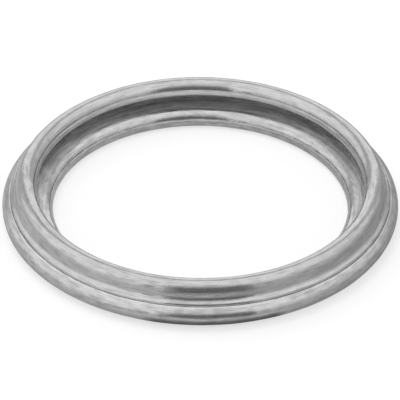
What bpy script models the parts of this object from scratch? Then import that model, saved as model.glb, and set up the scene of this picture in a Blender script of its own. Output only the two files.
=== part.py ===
"""Drain plug sealing washer: a crush ring rolled from one strip of thin steel.

The strip is bent into a section with two rolls and turned round the bore.
Its lower roll is a flat closed tube that seats on the sump.  The strip folds
back on top of that tube into a short flange, rises as a wall and rolls over
into an open bead that the plug's head crushes.

All sizes are in metres.  The origin is on the bore's axis in the seating
plane, and +Z points to the bead.
"""

import math

import bmesh
import bpy

# Sizes of the ring
BORE_DIAMETER = 0.01806
RING_WIDTH = 0.00307
STRIP_THICKNESS = 0.00016

# Lower roll: clear height at its outer side and at the bore, and bends of the bore
OUTER_ROLL_OPENING = 0.00089
INNER_ROLL_OPENING = 0.00059
BORE_TOP_RADIUS = 0.00041
BORE_FOOT_RADIUS = 0.00006

# Free end of the lower roll, which leans in over its bend and stops beside the fold
ROLL_LEAN = math.radians(50.0)
ROLL_RUN = 0.00033
FOLD_BEARING = math.radians(150.0)
SEAM_GAP = 0.00002

# Flange that is folded back on top of the lower roll
FOLD_GAP = 0.00003
FLANGE_WIDTH = 0.00027
FLANGE_SLOPE = math.radians(28.0)
FOOT_RADIUS = 0.0004

# Outer wall of the bead, measured between the corners of the strip's middle line
NECK_LENGTH = 0.00051
NECK_LEAN = math.radians(8.0)
NECK_RADIUS = 0.00021
SHOULDER_LENGTH = 0.00052
SHOULDER_LEAN = math.radians(24.0)

# Open bead on top
BEAD_OPENING = 0.00089
LIP_LENGTH = 0.00022

# Rounding of the strip's two cut edges
EDGE_RADIUS = 0.00003

# Fineness of the model
TURN_STEPS = 76
CHORD_ERROR = 0.000013
SAME_POINT = 0.000002

STEEL_COLOUR = (0.60, 0.60, 0.60, 1.0)
STEEL_ROUGHNESS = 0.25


def clear_scene():
    for item in list(bpy.data.objects):
        bpy.data.objects.remove(item, do_unlink=True)


def heading(start, end):
    """Angle of the straight line from one point of the section to another."""
    return math.atan2(end[1] - start[1], end[0] - start[0])


def moved(point, angle, distance):
    return (
        point[0] + distance * math.cos(angle),
        point[1] + distance * math.sin(angle),
    )


def turn_at(before, corner, after):
    """Signed change of heading at a corner, left turns positive."""
    change = heading(corner, after) - heading(before, corner)
    return math.atan2(math.sin(change), math.cos(change))


def fitted_radii(points, wanted):
    """Bend radii, each cut down to what the straight runs beside it can hold."""
    runs = [math.dist(a, b) for a, b in zip(points, points[1:])]
    reach = [0.0] * len(points)
    for i in range(1, len(points) - 1):
        half_turn = abs(turn_at(points[i - 1], points[i], points[i + 1])) / 2
        reach[i] = wanted[i] * math.tan(half_turn)
    share = [1.0] * len(points)
    for i, run in enumerate(runs):
        fit = min(1.0, run / (reach[i] + reach[i + 1]))
        share[i] = min(share[i], fit)
        share[i + 1] = min(share[i + 1], fit)
    return [radius * part for radius, part in zip(wanted, share)]


def arc_points(centre, radius, start, sweep):
    """Points on an arc, as many as the chord error asks for."""
    step = 2 * math.acos(max(0.0, 1 - CHORD_ERROR / max(radius, CHORD_ERROR)))
    count = max(1, math.ceil(abs(sweep) / step))
    return [
        moved(centre, start + sweep * i / count, radius)
        for i in range(count + 1)
    ]


def strip_face(points, radii, offset):
    """One face of the bent strip: its middle line moved sideways by offset."""
    side = math.copysign(math.pi / 2, offset)
    first = heading(points[0], points[1])
    last = heading(points[-2], points[-1])
    face = [moved(points[0], first + side, abs(offset))]
    for i in range(1, len(points) - 1):
        before, corner, after = points[i - 1:i + 2]
        turn = turn_at(before, corner, after)
        way_in = heading(before, corner)
        reach = radii[i] * math.tan(abs(turn) / 2)
        inward = math.copysign(math.pi / 2, turn)
        centre = moved(moved(corner, way_in, -reach), way_in + inward, radii[i])
        face_radius = radii[i] - offset * math.copysign(1.0, turn)
        face += arc_points(centre, face_radius, way_in - inward, turn)
    face.append(moved(points[-1], last + side, abs(offset)))
    return face


def cut_edge(end, angle):
    """Rounded cut edge of the strip, from its left face to its right face."""
    inset = STRIP_THICKNESS / 2 - EDGE_RADIUS
    left = moved(end, angle + math.pi / 2, inset)
    right = moved(end, angle - math.pi / 2, inset)
    quarter = -math.pi / 2
    corner = arc_points(left, EDGE_RADIUS, angle - quarter, quarter)
    corner += arc_points(right, EDGE_RADIUS, angle, quarter)
    return corner[1:-1]


def strip_corners():
    """Corners of the strip's middle line in (radius, height), and their bends."""
    half = STRIP_THICKNESS / 2
    inner = BORE_DIAMETER / 2 + half
    outer = BORE_DIAMETER / 2 + RING_WIDTH - half
    outer_bend = OUTER_ROLL_OPENING / 2 + half
    fold_bend = FOLD_GAP / 2 + half
    bead_bend = BEAD_OPENING / 2 + half

    # Outer roll, and the strip's cut edge at the end of its leaning run
    roll_centre = (outer - outer_bend, outer_bend + half)
    roll_corner = (outer, roll_centre[1] + outer_bend * math.tan(ROLL_LEAN / 2))
    lean_start = moved(roll_centre, ROLL_LEAN, outer_bend)
    cut_edge_place = moved(lean_start, math.pi / 2 + ROLL_LEAN, ROLL_RUN)
    roll_end = moved(cut_edge_place, math.pi / 2 + ROLL_LEAN, -EDGE_RADIUS)

    # Fold beside that cut edge, and the middle layer that slopes down from it to the bore
    fold_centre = moved(cut_edge_place, FOLD_BEARING, fold_bend + half + SEAM_GAP)
    fold = fold_centre[0] + fold_bend
    bore_top = (inner, half + INNER_ROLL_OPENING + STRIP_THICKNESS)
    slope = heading(bore_top, fold_centre) - math.asin(fold_bend / math.dist(bore_top, fold_centre))
    layer = bore_top[1] + (fold - inner) * math.tan(slope)

    # Flange that slopes up from the fold to the foot of the bead's wall
    fold_top = fold_centre[1] + fold_bend * math.tan((math.pi / 2 - FLANGE_SLOPE) / 2)
    foot = (fold - FLANGE_WIDTH, fold_top + FLANGE_WIDTH * math.tan(FLANGE_SLOPE))

    # Outer wall of the bead, its crown and its free lip
    neck = moved(foot, math.pi / 2 + NECK_LEAN, NECK_LENGTH)
    shoulder = moved(neck, math.pi / 2 + SHOULDER_LEAN, SHOULDER_LENGTH)
    crown = shoulder[1]
    lip = shoulder[0] - bead_bend * (1 + math.tan((math.pi / 2 - SHOULDER_LEAN) / 2))
    lip_end = (lip, crown - bead_bend - LIP_LENGTH + EDGE_RADIUS)

    corners = [
        (lip_end, 0.0),
        ((lip, crown), bead_bend),
        (shoulder, bead_bend),
        (neck, NECK_RADIUS + half),
        (foot, FOOT_RADIUS + half),
        ((fold, fold_top), fold_bend),
        ((fold, layer), fold_bend),
        (bore_top, BORE_TOP_RADIUS + half),
        ((inner, half), BORE_FOOT_RADIUS + half),
        ((outer, half), outer_bend),
        (roll_corner, outer_bend),
        (roll_end, 0.0),
    ]
    return [point for point, bend in corners], [bend for point, bend in corners]


def washer_section():
    """Closed outline of the strip's section, in (radius, height)."""
    points, wanted = strip_corners()
    radii = fitted_radii(points, wanted)
    half = STRIP_THICKNESS / 2
    left = strip_face(points, radii, half)
    right = strip_face(points, radii, -half)
    seam_edge = cut_edge(points[-1], heading(points[-2], points[-1]))
    lip_edge = cut_edge(points[0], heading(points[1], points[0]))
    outline = left + seam_edge + right[::-1] + lip_edge
    return [
        point
        for previous, point in zip(outline[-1:] + outline, outline)
        if math.dist(previous, point) > SAME_POINT
    ]


def revolved_mesh(name, outline):
    """Ring made by spinning an outline once round the bore's axis."""
    shape = bmesh.new()
    ring = [shape.verts.new((radius, 0.0, height)) for radius, height in outline]
    edges = [
        shape.edges.new((ring[i - 1], ring[i]))
        for i in range(len(ring))
    ]
    bmesh.ops.spin(
        shape,
        geom=ring + edges,
        cent=(0.0, 0.0, 0.0),
        axis=(0.0, 0.0, 1.0),
        angle=math.tau,
        steps=TURN_STEPS,
        use_merge=True,
    )
    bmesh.ops.recalc_face_normals(shape, faces=shape.faces)
    mesh = bpy.data.meshes.new(name)
    shape.to_mesh(mesh)
    shape.free()
    mesh.shade_smooth()
    mesh.set_sharp_from_angle(angle=math.radians(50.0))
    return mesh


def steel_material():
    """Bright rolled steel."""
    material = bpy.data.materials.new("rolled_steel")
    material.use_nodes = True
    shader = material.node_tree.nodes["Principled BSDF"]
    shader.inputs["Base Color"].default_value = STEEL_COLOUR
    shader.inputs["Metallic"].default_value = 1.0
    shader.inputs["Roughness"].default_value = STEEL_ROUGHNESS
    return material


def build_washer():
    mesh = revolved_mesh("washer", washer_section())
    mesh.materials.append(steel_material())
    washer = bpy.data.objects.new("washer", mesh)
    bpy.context.scene.collection.objects.link(washer)


clear_scene()
build_washer()
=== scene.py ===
# %% [markdown]
# # Drain plug sealing washer
# The real washer is a crush ring: one strip of thin bright steel, rolled into a hollow section and
# turned round the bore.  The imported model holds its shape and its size, and this script adds the finish.
# The model is loaded first, because everything below is measured from it.

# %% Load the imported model
import math

import bpy
from mathutils import Matrix, Vector


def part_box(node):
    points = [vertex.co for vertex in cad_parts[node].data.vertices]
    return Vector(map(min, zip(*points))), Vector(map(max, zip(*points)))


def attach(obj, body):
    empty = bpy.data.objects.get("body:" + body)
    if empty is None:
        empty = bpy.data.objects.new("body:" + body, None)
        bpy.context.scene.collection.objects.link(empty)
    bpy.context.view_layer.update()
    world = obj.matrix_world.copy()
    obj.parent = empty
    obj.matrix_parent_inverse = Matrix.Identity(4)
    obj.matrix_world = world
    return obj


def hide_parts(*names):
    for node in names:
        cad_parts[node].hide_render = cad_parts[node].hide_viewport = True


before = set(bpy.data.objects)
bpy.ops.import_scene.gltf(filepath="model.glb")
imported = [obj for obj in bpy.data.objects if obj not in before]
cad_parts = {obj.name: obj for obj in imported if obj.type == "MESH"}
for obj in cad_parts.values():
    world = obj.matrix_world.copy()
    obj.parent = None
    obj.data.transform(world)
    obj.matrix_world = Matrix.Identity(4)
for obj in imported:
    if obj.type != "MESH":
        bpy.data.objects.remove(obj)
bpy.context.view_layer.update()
lowest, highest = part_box("washer")
MM = 0.001
ring_sizes = [round((high - low) / MM, 3) for low, high in zip(lowest, highest)]
print("Ring along X, Y and Z, in mm:", ring_sizes)

# %% [markdown]
# ## Camera
# The photo was taken from about 35 degrees above the table with a long lens: the far side of the ring is
# hardly smaller than the near side.  The lens and the distance below were fitted to the ring's outlines.
# The camera could be turned to frame the ring, but moving it sideways keeps its angle to the table.

# %% Place the camera
PHOTO_WIDTH_PX = 400
FOCAL_LENGTH_PX = 6575.0
SENSOR_WIDTH_MM = 36.0
CAMERA_DISTANCE = 0.4025
CAMERA_ELEVATION = math.radians(35.469)
CAMERA_ROLL = math.radians(0.367)
CAMERA_RISE = 0.702 * MM
CAMERA_SIDE = -0.0165 * MM
NEAREST_VIEW = 0.01
FARTHEST_VIEW = 10.0


def photo_camera():
    """A camera that sees the ring as the photo does."""
    lens = bpy.data.cameras.new("photo_camera")
    lens.sensor_width = SENSOR_WIDTH_MM
    lens.lens = FOCAL_LENGTH_PX / PHOTO_WIDTH_PX * SENSOR_WIDTH_MM
    lens.clip_start = NEAREST_VIEW
    lens.clip_end = FARTHEST_VIEW
    camera = bpy.data.objects.new("photo_camera", lens)
    tilt = Matrix.Rotation(math.pi / 2 - CAMERA_ELEVATION, 4, "X")
    place = tilt @ Vector((CAMERA_SIDE, CAMERA_RISE, CAMERA_DISTANCE))
    camera.matrix_world = Matrix.Translation(place) @ tilt @ Matrix.Rotation(CAMERA_ROLL, 4, "Z")
    bpy.context.scene.collection.objects.link(camera)
    bpy.context.scene.camera = camera
    return camera


camera = photo_camera()
print("Lens in mm:", round(camera.data.lens, 1))

# %% [markdown]
# ## Helpers for node trees
# The ring's shape, its finish and the studio are all node trees.  One helper adds a node, sets its
# options and fills its inputs.  The others use it for the sums that come back often, so that each tree
# below reads as a list of steps.


# %% Add one node
def add_node(tree, kind, inputs=None, **options):
    """A new node.  Each input, by its name or its number, gets a value or another node's output."""
    node = tree.nodes.new(kind)
    for name, value in options.items():
        setattr(node, name, value)
    for key, value in (inputs or {}).items():
        if isinstance(value, bpy.types.NodeSocket):
            tree.links.new(value, node.inputs[key])
        else:
            node.inputs[key].default_value = value
    return node


# %% Sums in a tree
def calculate(tree, operation, first, second=0.0):
    """Output of one Math node."""
    return add_node(tree, "ShaderNodeMath", {0: first, 1: second}, operation=operation).outputs[0]


def product(tree, first, *others):
    """The values multiplied together."""
    for other in others:
        first = calculate(tree, "MULTIPLY", first, other)
    return first


def blended(tree, share, first, second):
    """first where share is 0, second where it is 1, and a blend of the two between."""
    sockets = {0: share, "A": first, "B": second}
    return add_node(tree, "ShaderNodeMix", sockets, data_type="FLOAT").outputs[0]


def ease(tree, value, start, end, low=0.0, high=1.0):
    """A smooth step: low up to start, high from end on."""
    sockets = {0: value, 1: start, 2: end, 3: low, 4: high}
    return add_node(tree, "ShaderNodeMapRange", sockets, interpolation_type="SMOOTHSTEP").outputs[0]


# %% Lengths and directions in a tree
def step_length(tree, across, up):
    """Length of a step that goes so far across and so far up."""
    squares = [product(tree, part, part) for part in (across, up)]
    return calculate(tree, "SQRT", calculate(tree, "ADD", *squares))


def flattened(tree, vector):
    """The vector without its height."""
    sockets = {0: vector, 1: (1.0, 1.0, 0.0)}
    return add_node(tree, "ShaderNodeVectorMath", sockets, operation="MULTIPLY").outputs[0]


def agreement(tree, direction, side):
    """1 where the direction is the same as side, -1 where it is opposite."""
    sockets = {0: direction, 1: side}
    return add_node(tree, "ShaderNodeVectorMath", sockets, operation="DOT_PRODUCT").outputs["Value"]


# %% [markdown]
# ## Path of the strip
# A maker draws this ring as one line with bends: the middle of the strip, from the free lip on the bead
# over its crown, down the outer wall, along the flange, back under it to the bore, and round the lower
# roll to the other cut edge.  Each corner of the line has its own bend radius.  The corners could be
# typed in, but here they follow from a few sizes and from the model's box, as the solid's own do.

# %% Sizes of the strip
OUTER_RADIUS = highest[0]
RING_WIDTH = 3.07 * MM
STRIP_THICKNESS = 0.16 * MM
OUTER_ROLL_OPENING = 0.89 * MM
INNER_ROLL_OPENING = 0.59 * MM
BORE_TOP_RADIUS = 0.41 * MM
BORE_FOOT_RADIUS = 0.06 * MM
ROLL_LEAN = math.radians(50.0)
ROLL_RUN = 0.33 * MM
FOLD_BEARING = math.radians(150.0)
SEAM_GAP = 0.01 * MM
FOLD_GAP = 0.03 * MM
FLANGE_WIDTH = 0.27 * MM
FLANGE_SLOPE = math.radians(28.0)
FOOT_RADIUS = 0.40 * MM
NECK_LENGTH = 0.51 * MM
NECK_LEAN = math.radians(8.0)
NECK_RADIUS = 0.21 * MM
SHOULDER_LENGTH = 0.52 * MM
SHOULDER_LEAN = math.radians(24.0)
BEAD_OPENING = 0.89 * MM
LIP_LENGTH = 0.22 * MM
SQUARE = math.pi / 2


def moved(point, angle, distance):
    """The point (radius, height), moved in the section's plane."""
    return point[0] + distance * math.cos(angle), point[1] + distance * math.sin(angle)


def layer_slope(bore_top, fold_centre, fold_bend):
    """Slope of the middle layer, which starts at the bore and runs into the underside of the fold."""
    across = fold_centre[0] - bore_top[0]
    up = fold_centre[1] - bore_top[1]
    return math.atan2(up, across) - math.asin(fold_bend / math.hypot(across, up))


def strip_corners():
    """Corners of the strip's middle line as (point, bend radius)."""
    half = STRIP_THICKNESS / 2
    outer = OUTER_RADIUS - half
    inner = OUTER_RADIUS - RING_WIDTH + half
    outer_bend = OUTER_ROLL_OPENING / 2 + half
    fold_bend = FOLD_GAP / 2 + half
    bead_bend = BEAD_OPENING / 2 + half

    # Outer roll, and the strip's cut edge at the end of its leaning run
    roll_centre = (outer - outer_bend, outer_bend + half)
    roll_corner = (outer, roll_centre[1] + outer_bend * math.tan(ROLL_LEAN / 2))
    roll_end = moved(moved(roll_centre, ROLL_LEAN, outer_bend), SQUARE + ROLL_LEAN, ROLL_RUN)

    # Fold beside that cut edge, the middle layer under it and the flange over it
    fold_centre = moved(roll_end, FOLD_BEARING, fold_bend + half + SEAM_GAP)
    fold = fold_centre[0] + fold_bend
    bore_top = (inner, half + INNER_ROLL_OPENING + STRIP_THICKNESS)
    layer = bore_top[1] + (fold - inner) * math.tan(layer_slope(bore_top, fold_centre, fold_bend))
    fold_top = fold_centre[1] + fold_bend * math.tan((SQUARE - FLANGE_SLOPE) / 2)
    foot = (fold - FLANGE_WIDTH, fold_top + FLANGE_WIDTH * math.tan(FLANGE_SLOPE))

    # Outer wall of the bead, its crown and its free lip
    neck = moved(foot, SQUARE + NECK_LEAN, NECK_LENGTH)
    shoulder = moved(neck, SQUARE + SHOULDER_LEAN, SHOULDER_LENGTH)
    crown = shoulder[1]
    lip = shoulder[0] - bead_bend * (1 + math.tan((SQUARE - SHOULDER_LEAN) / 2))
    return [
        ((lip, crown - bead_bend - LIP_LENGTH), 0.0),
        ((lip, crown), bead_bend),
        (shoulder, bead_bend),
        (neck, NECK_RADIUS + half),
        (foot, FOOT_RADIUS + half),
        ((fold, fold_top), fold_bend),
        ((fold, layer), fold_bend),
        (bore_top, BORE_TOP_RADIUS + half),
        ((inner, half), BORE_FOOT_RADIUS + half),
        ((outer, half), outer_bend),
        (roll_corner, outer_bend),
        (roll_end, 0.0),
    ]


# %% [markdown]
# The line is a mesh of single edges.  Each corner's bend radius, and the number of short pieces that its
# bend is made of, travel with it as attributes, which is how a script hands a different value for each
# corner to Geometry Nodes.

# %% Count the pieces of a bend
BEND_STEP = 0.055 * MM
FEWEST_PIECES = 2


def bend_pieces(before, corner, after, bend):
    """Number of short pieces in the bend at a corner, from its radius and how far the line turns there."""
    turn = (Vector(corner) - Vector(before)).angle(Vector(after) - Vector(corner))
    return max(FEWEST_PIECES, math.ceil(bend * turn / BEND_STEP))


# %% Draw the strip's line
def strip_line(name):
    """The strip's middle line as an object of edges, with the bends on its corners."""
    corners = strip_corners()
    mesh = bpy.data.meshes.new(name)
    points = [(radius, 0.0, height) for (radius, height), bend in corners]
    mesh.from_pydata(points, [(i, i + 1) for i in range(len(points) - 1)], [])
    places = [point for point, bend in corners]
    radii = [bend for point, bend in corners]
    middle = [bend_pieces(*places[i - 1:i + 2], radii[i]) for i in range(1, len(places) - 1)]
    mesh.attributes.new("bend", "FLOAT", "POINT").data.foreach_set("value", radii)
    mesh.attributes.new("pieces", "INT", "POINT").data.foreach_set("value", [1, *middle, 1])
    line = bpy.data.objects.new(name, mesh)
    bpy.context.scene.collection.objects.link(line)
    return line


washer = strip_line("sealing_ring")
print("Corners in the strip's line:", len(washer.data.vertices))

# %% [markdown]
# ## Turning the line into the ring
# The ring follows a rule, so Geometry Nodes make it.  Fillet Curve rounds each corner by its bend, extra
# points go on the long straight runs, and a grid with one column for each step round the bore takes its
# places from that curve.  Spinning a mesh would give the same shape, but a tree keeps every size open to
# change, and the slight waviness of rolled steel can be added in it before the strip is thick.

# %% Values for the ring
STEPS_ROUND = 400
RUN_STEP = 0.22 * MM
WAVE_HEIGHT = 0.012 * MM
WAVE_LENGTH = 1.6 * MM
WAVE_DETAIL = 1.0
WAVE_SEED = 4
NOISE_MIDDLE = 0.5
MERGE_DISTANCE = 0.001 * MM


# %% Round the line and space its points
def rounded_curve(tree, line, run_step):
    """The line as a curve with rounded corners and evenly short segments."""
    bend, pieces = [
        add_node(tree, "GeometryNodeInputNamedAttribute", {"Name": name}, data_type=kind).outputs[0]
        for name, kind in (("bend", "FLOAT"), ("pieces", "INT"))
    ]
    curve = add_node(tree, "GeometryNodeMeshToCurve", {"Mesh": line})
    fillet = add_node(
        tree,
        "GeometryNodeFilletCurve",
        {"Curve": curve.outputs[0], "Count": pieces, "Radius": bend, "Limit Radius": True},
        mode="POLY",
    )
    index = add_node(tree, "GeometryNodeInputIndex").outputs[0]
    place = add_node(tree, "GeometryNodeInputPosition").outputs[0]
    after = add_node(
        tree,
        "GeometryNodeFieldAtIndex",
        {"Index": calculate(tree, "ADD", index, 1.0), "Value": place},
        data_type="FLOAT_VECTOR",
    )
    run = add_node(tree, "ShaderNodeVectorMath", {0: place, 1: after.outputs[0]}, operation="DISTANCE")
    cuts = calculate(tree, "FLOOR", calculate(tree, "DIVIDE", run.outputs["Value"], run_step))
    spaced = add_node(tree, "GeometryNodeSubdivideCurve", {"Curve": fillet.outputs[0], "Cuts": cuts})
    return spaced.outputs[0]


# %% Turn the curve round the bore
def turned_surface(tree, curve, steps):
    """A grid whose columns are copies of the curve, turned step by step round the bore's axis."""
    size = add_node(tree, "GeometryNodeAttributeDomainSize", {"Geometry": curve}, component="CURVE")
    count = size.outputs["Point Count"]
    columns = calculate(tree, "ADD", steps, 1.0)
    grid = add_node(tree, "GeometryNodeMeshGrid", {"Vertices X": columns, "Vertices Y": count})
    index = add_node(tree, "GeometryNodeInputIndex").outputs[0]
    # Half a point is added, so that rounding can't move a point to the column before
    column = calculate(tree, "FLOOR", calculate(tree, "DIVIDE", calculate(tree, "ADD", index, 0.5), count))
    row = calculate(tree, "SUBTRACT", index, product(tree, column, count))
    angle = product(tree, calculate(tree, "DIVIDE", column, steps), math.tau)
    place = add_node(tree, "GeometryNodeInputPosition").outputs[0]
    point = add_node(
        tree,
        "GeometryNodeSampleIndex",
        {"Geometry": curve, "Value": place, "Index": row},
        data_type="FLOAT_VECTOR",
        domain="POINT",
    )
    parts = add_node(tree, "ShaderNodeSeparateXYZ", {0: point.outputs[0]})
    radius = parts.outputs["X"]
    turned = add_node(
        tree,
        "ShaderNodeCombineXYZ",
        {
            "X": product(tree, radius, calculate(tree, "COSINE", angle)),
            "Y": product(tree, radius, calculate(tree, "SINE", angle)),
            "Z": parts.outputs["Z"],
        },
    )
    surface = add_node(
        tree, "GeometryNodeSetPosition", {"Geometry": grid.outputs["Mesh"], "Position": turned.outputs[0]}
    )
    closed = add_node(
        tree, "GeometryNodeMergeByDistance", {"Geometry": surface.outputs[0], "Distance": MERGE_DISTANCE}
    )
    return closed.outputs[0]


# %% Let the surface wave a little
def waved_surface(tree, surface, height, length, seed):
    """The surface moved along its normal by a soft noise, as rolling leaves it."""
    noise = add_node(
        tree,
        "ShaderNodeTexNoise",
        {"W": seed, "Scale": calculate(tree, "DIVIDE", 1.0, length), "Detail": WAVE_DETAIL},
        noise_dimensions="4D",
    )
    # Noise runs from 0 to 1, so twice its swing about the middle runs from -1 to 1
    swing = calculate(tree, "SUBTRACT", noise.outputs[0], NOISE_MIDDLE)
    normal = add_node(tree, "GeometryNodeInputNormal").outputs[0]
    offset = add_node(
        tree,
        "ShaderNodeVectorMath",
        {0: normal, "Scale": product(tree, swing, height, 2.0)},
        operation="SCALE",
    )
    return add_node(
        tree, "GeometryNodeSetPosition", {"Geometry": surface, "Offset": offset.outputs[0]}
    ).outputs[0]


# %% [markdown]
# ## Finish of the steel
# The photo shows bright rolled steel: a clear but soft mirror, with fine lines and darker streaks that run
# round the ring, and a mottle where the strip was worked, strongest on the lower roll.  Noise on plain
# coordinates has no direction, and noise on a UV map would show a seam, so all of them come from noise
# that is read slowly along X and Y but fast along the radius and the height.  That stretches it round the
# ring and closes on itself.

# %% Values for the steel
STEEL_GREY = 0.62
BRIGHTEST_GREY = 0.95
STEEL_ROUGHNESS = 0.16
STEEL_ROUGHNESS_SPREAD = 0.05
LINE_DEPTH = 0.0008 * MM
STREAK_GREY = 0.11
STREAK_ROUGHNESS = 0.10
MOTTLE_GREY = 0.05
MOTTLE_DEPTH = 0.013 * MM
ROLL_MOTTLE = 0.18
# Each noise: its size across the strip, its length round the ring and its detail
LINES = (0.05 * MM, 3.0 * MM, 2.0)
STREAKS = (0.10 * MM, 1.1 * MM, 3.0)
MOTTLE = (0.30 * MM, 0.66 * MM, 3.0)
SHELTERED_STREAKS = (0.17 * MM, 2.4 * MM, 2.0)
# Most of a noise lies in this part of its range
NOISE_RANGE = (0.3, 0.7)
# Smooth steps: where each starts and ends, and what it gives before and after
STREAK_RANGE = (0.36, 0.50, 1.0, 0.0)
ROLL_TOP = (1.15 * MM, 1.30 * MM, 1.0, 0.0)


# %% Place on the ring
def ring_place(tree):
    """The three Object coordinates, and the radius that follows from them."""
    place = add_node(tree, "ShaderNodeTexCoord").outputs["Object"]
    radius = add_node(tree, "ShaderNodeVectorMath", {0: flattened(tree, place)}, operation="LENGTH")
    parts = add_node(tree, "ShaderNodeSeparateXYZ", {0: place}).outputs
    return parts, radius.outputs["Value"]


# %% Noise that runs round the ring
def ring_noise(tree, across, along, detail):
    """Noise with features of the size across over the strip and of the length along round the ring."""
    parts, radius = ring_place(tree)
    vector = add_node(
        tree,
        "ShaderNodeCombineXYZ",
        {
            "X": calculate(tree, "DIVIDE", parts["X"], along),
            "Y": calculate(tree, "DIVIDE", parts["Y"], along),
            "Z": calculate(tree, "DIVIDE", radius, across),
        },
    )
    return add_node(
        tree,
        "ShaderNodeTexNoise",
        {
            "Vector": vector.outputs[0],
            "W": calculate(tree, "DIVIDE", parts["Z"], across),
            "Scale": 1.0,
            "Detail": detail,
        },
        noise_dimensions="4D",
    ).outputs[0]


# %% [markdown]
# The strip is duller where it is sheltered, and it has longer streaks inside the bead and on the middle
# layer below it.  Its colour there is lifted by painted light, most towards the outer wall, and the seam
# is lightened by painted light against the shade in its crease.  Those places could have a material of
# their own, but its edge would be hard, so masks by radius and height find them, the bead and the seam
# from the corners of the strip's path.

# %% Values for the sheltered side
SHELTERED_ROUGHNESS = 0.48
# Painted light: the seam's colour is made lighter by this factor, against the shade in its crease
SEAM_PAINTED_LIGHT = 1.24
BEAD_SOFTNESS = 0.03 * MM
# Edges of the places, as smooth steps, which go from 0 to 1 unless they say otherwise
BEAD_FOOT = (0.9 * MM, 1.0 * MM)
LAYER_INNER = (9.5 * MM, 9.9 * MM)
LAYER_OUTER = (11.2 * MM, 11.3 * MM, 1.0, 0.0)
LAYER_FOOT = (0.5 * MM, 0.6 * MM)
LAYER_TOP = (1.3 * MM, 1.4 * MM, 1.0, 0.0)
SEAM_REACH = (0.08 * MM, 0.16 * MM, 1.0, 0.0)
# Gain of the sheltered side's colour by its longer streaks, and painted light that lifts it more towards
# the outer wall, by the radius, as smooth steps too
SHELTERED_STREAK_GAIN = (0.38, 0.62, 0.82, 1.18)
SHELTERED_PAINTED_LIGHT_BY_RADIUS = (10.0 * MM, 10.9 * MM, 0.95, 1.50)


# %% Find the sheltered side
def sheltered_steel(tree):
    """Two masks: 1 inside the bead and on the middle layer below it, and 1 in the seam."""
    corners = strip_corners()
    (lip, crown), bend = corners[1]
    edge_radius, edge_height = corners[-1][0]
    parts, radius = ring_place(tree)
    height = parts["Z"]

    # Inside the bead, which is an arch on straight sides
    above = calculate(tree, "MAXIMUM", calculate(tree, "SUBTRACT", height, crown - bend), 0.0)
    from_bead = step_length(tree, calculate(tree, "SUBTRACT", radius, lip + bend), above)
    inside = ease(tree, from_bead, bend, bend + BEAD_SOFTNESS, 1.0, 0.0)
    in_bead = product(tree, inside, ease(tree, height, *BEAD_FOOT))

    # On the middle layer below the bead
    on_layer = product(
        tree,
        ease(tree, radius, *LAYER_INNER),
        ease(tree, radius, *LAYER_OUTER),
        ease(tree, height, *LAYER_FOOT),
        ease(tree, height, *LAYER_TOP),
    )

    # In the seam, near the strip's cut edge beside the fold
    across = calculate(tree, "SUBTRACT", radius, edge_radius)
    up = calculate(tree, "SUBTRACT", height, edge_height)
    in_seam = ease(tree, step_length(tree, across, up), *SEAM_REACH)
    return calculate(tree, "MAXIMUM", in_bead, on_layer), in_seam


# %% The steel's material
def rolled_steel():
    """Bright rolled steel: fine lines round the ring, darker streaks, a soft mottle, painted light in bead
    and seam.
    """
    material = bpy.data.materials.new("rolled_steel_finish")
    material.use_nodes = True
    tree = material.node_tree
    shader = tree.nodes["Principled BSDF"]
    shader.inputs["Metallic"].default_value = 1.0
    parts, radius = ring_place(tree)
    lines = ring_noise(tree, *LINES)
    streaks = ease(tree, ring_noise(tree, *STREAKS), *STREAK_RANGE)
    mottle = ring_noise(tree, *MOTTLE)
    hidden, in_seam = sheltered_steel(tree)

    # Colour: the mottle goes both ways, most on the lower roll, and a streak only darkens
    plain = ease(tree, mottle, *NOISE_RANGE, STEEL_GREY - MOTTLE_GREY, STEEL_GREY + MOTTLE_GREY)
    swing = calculate(tree, "SUBTRACT", mottle, NOISE_MIDDLE)
    on_roll = product(tree, swing, ROLL_MOTTLE, ease(tree, parts["Z"], *ROLL_TOP))
    mottled = calculate(tree, "ADD", plain, on_roll)
    streaked = calculate(tree, "SUBTRACT", mottled, product(tree, streaks, STREAK_GREY))

    # The sheltered side gets its longer streaks, and painted light lifts its colour and the seam's
    by_streak = ease(tree, ring_noise(tree, *SHELTERED_STREAKS), *SHELTERED_STREAK_GAIN)
    streaks_and_painted_light = product(tree, by_streak, ease(tree, radius, *SHELTERED_PAINTED_LIGHT_BY_RADIUS))
    gain = blended(tree, hidden, 1.0, streaks_and_painted_light)
    painted_seam_light = blended(tree, in_seam, 1.0, SEAM_PAINTED_LIGHT)
    grey = calculate(tree, "MINIMUM", product(tree, streaked, gain, painted_seam_light), BRIGHTEST_GREY)
    colour = add_node(tree, "ShaderNodeCombineColor", {0: grey, 1: grey, 2: grey})

    # Roughness: the lines swing it, a streak is duller, and the sheltered side is dullest
    smoothest = STEEL_ROUGHNESS - STEEL_ROUGHNESS_SPREAD
    roughest = STEEL_ROUGHNESS + STEEL_ROUGHNESS_SPREAD
    polished = ease(tree, lines, *NOISE_RANGE, smoothest, roughest)
    worn = calculate(tree, "ADD", polished, product(tree, streaks, STREAK_ROUGHNESS))
    sheltered = calculate(tree, "MAXIMUM", hidden, in_seam)
    roughness = blended(tree, sheltered, worn, SHELTERED_ROUGHNESS)

    # Bump: the lines, and the mottle over them
    line_bump = add_node(tree, "ShaderNodeBump", {"Height": lines, "Distance": LINE_DEPTH, "Strength": 1.0})
    mottle_bump = add_node(
        tree,
        "ShaderNodeBump",
        {"Height": mottle, "Distance": MOTTLE_DEPTH, "Strength": 1.0, "Normal": line_bump.outputs[0]},
    )
    tree.links.new(colour.outputs[0], shader.inputs["Base Color"])
    tree.links.new(roughness, shader.inputs["Roughness"])
    tree.links.new(mottle_bump.outputs[0], shader.inputs["Normal"])
    return material


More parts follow.
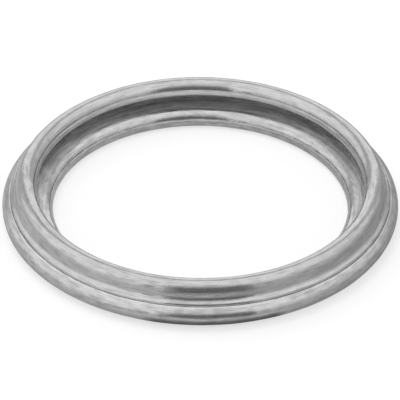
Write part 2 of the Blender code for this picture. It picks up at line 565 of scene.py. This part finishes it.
steel = rolled_steel()
print("Nodes in the steel:", len(steel.node_tree.nodes))

# %% [markdown]
# ## The tree, and the strip's thickness
# The three steps are joined in one tree with named inputs.  The Solidify modifier then gives the sheet
# its thickness to both sides, and a Bevel rounds the two cut edges, which are the only sharp ones.  The
# finished shape is kept as a plain mesh, so that nothing is left to work out when the ring is exported.

# %% Build the tree
RING_INPUTS = {
    "Steps Round": ("NodeSocketInt", STEPS_ROUND),
    "Run Step": ("NodeSocketFloat", RUN_STEP),
    "Wave Height": ("NodeSocketFloat", WAVE_HEIGHT),
    "Wave Length": ("NodeSocketFloat", WAVE_LENGTH),
    "Seed": ("NodeSocketInt", WAVE_SEED),
}


def ring_tree(finish):
    """Geometry Nodes that turn the strip's line into the ring's middle surface."""
    tree = bpy.data.node_groups.new("rolled_ring", "GeometryNodeTree")
    tree.interface.new_socket("Line", in_out="INPUT", socket_type="NodeSocketGeometry")
    for name, (kind, value) in RING_INPUTS.items():
        tree.interface.new_socket(name, in_out="INPUT", socket_type=kind)
    tree.interface.new_socket("Ring", in_out="OUTPUT", socket_type="NodeSocketGeometry")
    given = add_node(tree, "NodeGroupInput").outputs
    curve = rounded_curve(tree, given["Line"], given["Run Step"])
    surface = turned_surface(tree, curve, given["Steps Round"])
    waved = waved_surface(tree, surface, given["Wave Height"], given["Wave Length"], given["Seed"])
    smooth = add_node(tree, "GeometryNodeSetShadeSmooth", {"Geometry": waved})
    whole = add_node(tree, "GeometryNodeRealizeInstances", {"Geometry": smooth.outputs[0]})
    dressed = add_node(tree, "GeometryNodeSetMaterial", {"Geometry": whole.outputs[0], "Material": finish})
    add_node(tree, "NodeGroupOutput", {"Ring": dressed.outputs[0]})
    return tree


# %% Make the ring
CUT_EDGE_RADIUS = 0.075 * MM
CUT_EDGE_SEGMENTS = 3
CUT_EDGE_ANGLE = math.radians(60.0)


def finish_ring(ring, finish):
    """Runs the tree on the line, gives the sheet its thickness and keeps the result as a plain mesh."""
    turning = ring.modifiers.new("turning", "NODES")
    turning.node_group = ring_tree(finish)
    for item in turning.node_group.interface.items_tree:
        if item.in_out == "INPUT" and item.name in RING_INPUTS:
            turning[item.identifier] = RING_INPUTS[item.name][1]
    sheet = ring.modifiers.new("thickness", "SOLIDIFY")
    sheet.thickness = STRIP_THICKNESS
    sheet.offset = 0.0
    sheet.use_even_offset = True
    edges = ring.modifiers.new("cut_edges", "BEVEL")
    edges.width = CUT_EDGE_RADIUS
    edges.segments = CUT_EDGE_SEGMENTS
    edges.limit_method = "ANGLE"
    edges.angle_limit = CUT_EDGE_ANGLE
    depsgraph = bpy.context.evaluated_depsgraph_get()
    mesh = bpy.data.meshes.new_from_object(ring.evaluated_get(depsgraph), depsgraph=depsgraph)
    ring.modifiers.clear()
    ring.data = mesh
    mesh.shade_smooth()


finish_ring(washer, steel)
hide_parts("washer")
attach(washer, "root")
print("Triangles in the ring:", sum(len(face.vertices) - 2 for face in washer.data.polygons))

# %% [markdown]
# ## Studio
# Bright metal has no colour of its own: it looks like what is round it.  The ring in the photo stands on
# white and shows large grey cards at its left and right, a dark one in front with a narrow one beside it,
# which give the sharp dark bars on the near side, and a white backdrop with a darker rim behind.  Real
# cards could stand round the ring, but they would shade it and hide it from other views.  So the world is
# white, the cards and the rim are painted in it by direction, and only the metal's reflections see them.

# %% Values for the studio
WHITE = (1.0, 1.0, 1.0, 1.0)
SOFT_LIGHT = 0.75
# Each card: its azimuth from the camera's side, its half width and its soft sides, in degrees, then the
# heights where it starts to fade and where it is gone, on a direction one unit long, and its grey
CARDS = [
    (96.0, 69.0, 8.0, 0.0, 0.95, 0.51),
    (-96.0, 69.0, 8.0, -0.10, 0.50, 0.62),
    (-30.0, 3.0, 2.0, 0.25, 0.60, 0.33),
    (5.5, 25.5, 2.5, 0.40, 1.10, 0.17),
]
BACKDROP_WIDTH = math.tan(math.radians(28.0))
BACKDROP_HEIGHT = math.tan(math.radians(38.0))
# The rim starts, is full, starts to fade and ends at these multiples of the backdrop's size
BACKDROP_RIM = (1.0, 1.12, 1.5, 2.2)
RIM_GREY = 0.50
# A direction that doesn't point to the back gets this depth, and so lies far outside the oval
SMALLEST_DEPTH = 0.001


# %% Paint one card in the world
def painted_card(tree, direction, colour, card):
    """The colour so far, with one soft-edged card over it."""
    azimuth, half_width, soft_side, fade_start, fade_end, grey = card
    away = math.radians(azimuth)
    level = add_node(tree, "ShaderNodeVectorMath", {0: flattened(tree, direction)}, operation="NORMALIZE")
    facing = agreement(tree, level.outputs[0], (math.sin(away), -math.cos(away), 0.0))
    height = add_node(tree, "ShaderNodeSeparateXYZ", {0: direction}).outputs["Z"]
    edges = [math.cos(math.radians(half_width + way * soft_side)) for way in (1, -1)]
    inside = product(tree, ease(tree, facing, *edges), ease(tree, height, fade_start, fade_end, 1.0, 0.0))
    return blended(tree, inside, colour, grey)


# %% Paint the backdrop in the world
def painted_backdrop(tree, direction, colour):
    """The colour so far, with a white oval behind the ring and a darker rim round it."""
    parts = add_node(tree, "ShaderNodeSeparateXYZ", {0: direction}).outputs
    depth = calculate(tree, "MAXIMUM", parts["Y"], SMALLEST_DEPTH)
    across = calculate(tree, "DIVIDE", calculate(tree, "DIVIDE", parts["X"], depth), BACKDROP_WIDTH)
    up = calculate(tree, "DIVIDE", calculate(tree, "DIVIDE", parts["Z"], depth), BACKDROP_HEIGHT)
    away = step_length(tree, across, up)
    rim_start, rim_full, rim_fade, rim_end = BACKDROP_RIM
    before_end = ease(tree, away, rim_fade, rim_end, 1.0, 0.0)
    in_rim = product(tree, ease(tree, away, rim_start, rim_full), before_end)
    rimmed = blended(tree, in_rim, colour, RIM_GREY)
    return blended(tree, ease(tree, away, rim_start, rim_full, 1.0, 0.0), rimmed, 1.0)


# %% The world
def studio_world():
    """White to the camera, soft light on the floor, and grey cards in the metal's reflections."""
    world = bpy.data.worlds.new("studio")
    world.use_nodes = True
    tree = world.node_tree
    tree.nodes.clear()
    direction = add_node(tree, "ShaderNodeTexCoord").outputs["Generated"]
    grey = 1.0
    for card in CARDS:
        grey = painted_card(tree, direction, grey, card)
    grey = painted_backdrop(tree, direction, grey)
    soft, painted, white = [
        add_node(tree, "ShaderNodeBackground", {"Color": colour, "Strength": strength}).outputs[0]
        for colour, strength in ((WHITE, SOFT_LIGHT), (grey, 1.0), (WHITE, 1.0))
    ]
    rays = add_node(tree, "ShaderNodeLightPath").outputs
    in_metal = add_node(tree, "ShaderNodeMixShader", {0: rays["Is Glossy Ray"], 1: soft, 2: painted})
    seen = calculate(tree, "MAXIMUM", rays["Is Camera Ray"], rays["Is Transmission Ray"])
    shown = add_node(tree, "ShaderNodeMixShader", {0: seen, 1: in_metal.outputs[0], 2: white})
    add_node(tree, "ShaderNodeOutputWorld", {"Surface": shown.outputs[0]})
    bpy.context.scene.world = world
    return world


world = studio_world()
print("Nodes in the world:", len(world.node_tree.nodes))

# %% [markdown]
# ## Floor and lamp
# The floor is white card.  Part of its white is its own glow, which only the camera sees, so that it shows
# as white without more light on the ring, and the other part is lit, so that the ring keeps its soft
# shadow.  The metal shows the floor with painted light and shade: palest in the middle of the bore,
# paler at the left than at the right as painted light, dimmer at the ring's foot as a painted shadow, and
# dimmest in front as painted shade, at the foot and further off.

# %% Values for the floor
FLOOR_SIZE = 6.0
FLOOR_DROP = 0.02 * MM
FLOOR_GREY = 0.40
FLOOR_GLOW = 0.62
# The floor's glow in the metal, or a gain of it, as smooth steps by the radius: painted shade near the
# bore's wall, a painted shadow at the ring's foot, and painted shade in front, at the foot and further off
BORE_GLOW_WITH_PAINTED_SHADE = (7.5 * MM, 7.8 * MM, 0.76, 0.48)
BORE_END = (9.0 * MM, 9.5 * MM, 1.0, 0.0)
RING_START = (9.5 * MM, 10.0 * MM)
PAINTED_FOOT_SHADOW = (12.0 * MM, 13.4 * MM, 0.75, 1.0)
PAINTED_FRONT_FOOT_SHADOW = (12.0 * MM, 13.4 * MM, 0.33, 1.0)
PAINTED_FRONT_FAR_SHADE = (15.5 * MM, 19.0 * MM, 1.0, 0.55)
# Its glow opposite the side of painted light and towards it, then the directions of that side and of the
# front, where painted shade lies
PAINTED_SIDE_LIGHT = (0.40, 0.62)
PAINTED_LIGHT_SIDE = (-0.87, -0.50, 0.0)
FRONT_SIDE = (0.08, -1.0, 0.0)
FRONT_EDGES = (math.cos(math.radians(23.0)), math.cos(math.radians(17.0)))


# %% The floor in the metal
def floor_in_metal_painted_shade(tree):
    """Glow of the floor as the metal shows it, in the bore and outside, with painted light and shadow."""
    place = add_node(tree, "ShaderNodeTexCoord").outputs["Object"]
    radius = add_node(tree, "ShaderNodeVectorMath", {0: place}, operation="LENGTH").outputs["Value"]
    level = add_node(tree, "ShaderNodeVectorMath", {0: place}, operation="NORMALIZE").outputs[0]
    to_painted_light, to_front = [agreement(tree, level, side) for side in (PAINTED_LIGHT_SIDE, FRONT_SIDE)]
    # Painted shade near the bore's wall and at the ring's foot, darker in front, and painted light paler
    # towards one side
    in_bore = product(tree, ease(tree, radius, *BORE_GLOW_WITH_PAINTED_SHADE), ease(tree, radius, *BORE_END))
    painted_front_shade = product(tree, ease(tree, radius, *PAINTED_FRONT_FOOT_SHADOW), ease(tree, radius, *PAINTED_FRONT_FAR_SHADE))
    outside = product(
        tree,
        ease(tree, radius, *RING_START),
        ease(tree, radius, *PAINTED_FOOT_SHADOW),
        ease(tree, to_painted_light, -1.0, 1.0, *PAINTED_SIDE_LIGHT),
        blended(tree, ease(tree, to_front, *FRONT_EDGES), 1.0, painted_front_shade),
    )
    return calculate(tree, "MAXIMUM", in_bore, outside)


# %% The floor's material
def floor_material():
    """White card that keeps the ring's shadow, and shows painted light and shade in the metal."""
    material = bpy.data.materials.new("floor_card")
    material.use_nodes = True
    tree = material.node_tree
    tree.nodes.clear()
    rays = add_node(tree, "ShaderNodeLightPath").outputs
    seen = calculate(tree, "MAXIMUM", rays["Is Camera Ray"], rays["Is Transmission Ray"])
    lit = add_node(tree, "ShaderNodeBsdfDiffuse", {"Color": (FLOOR_GREY, FLOOR_GREY, FLOOR_GREY, 1.0)})
    glowing, mirrored = [
        add_node(tree, "ShaderNodeEmission", {"Color": WHITE, "Strength": strength}).outputs[0]
        for strength in (product(tree, seen, FLOOR_GLOW), floor_in_metal_painted_shade(tree))
    ]
    both = add_node(tree, "ShaderNodeAddShader", {0: lit.outputs[0], 1: glowing}).outputs[0]
    shown = add_node(tree, "ShaderNodeMixShader", {0: rays["Is Glossy Ray"], 1: both, 2: mirrored})
    add_node(tree, "ShaderNodeOutputMaterial", {"Surface": shown.outputs[0]})
    return material


# %% Lay the floor
def make_floor():
    """One large square under the ring."""
    half = FLOOR_SIZE / 2
    corners = [(-half, -half, 0.0), (half, -half, 0.0), (half, half, 0.0), (-half, half, 0.0)]
    mesh = bpy.data.meshes.new("floor")
    mesh.from_pydata(corners, [], [(0, 1, 2, 3)])
    mesh.materials.append(floor_material())
    floor = bpy.data.objects.new("floor", mesh)
    floor.location.z = -FLOOR_DROP
    bpy.context.scene.collection.objects.link(floor)
    return floor


floor = make_floor()
print("Floor in metres across:", round(floor.dimensions.x, 3))

# %% Hang the soft lamp
LAMP_SIZE = 0.35
LAMP_POWER = 0.9
LAMP_PLACE = Vector((-0.16, 0.22, 0.40))


def soft_lamp():
    """A large square lamp above the back left, which the metal doesn't show."""
    light = bpy.data.lights.new("soft_lamp", "AREA")
    light.size = LAMP_SIZE
    light.energy = LAMP_POWER
    lamp = bpy.data.objects.new("soft_lamp", light)
    lamp.location = LAMP_PLACE
    lamp.rotation_euler = (-LAMP_PLACE).to_track_quat("-Z", "Y").to_euler()
    lamp.visible_glossy = False
    lamp.visible_camera = False
    bpy.context.scene.collection.objects.link(lamp)
    return lamp


lamp = soft_lamp()
print("Lamp's distance from the ring, in metres:", round(lamp.location.length, 2))

# %% [markdown]
# ## Last steps
# Colours are shown as they are written.

# %% Show colours as they are written
scene = bpy.context.scene
scene.view_settings.view_transform = "Standard"
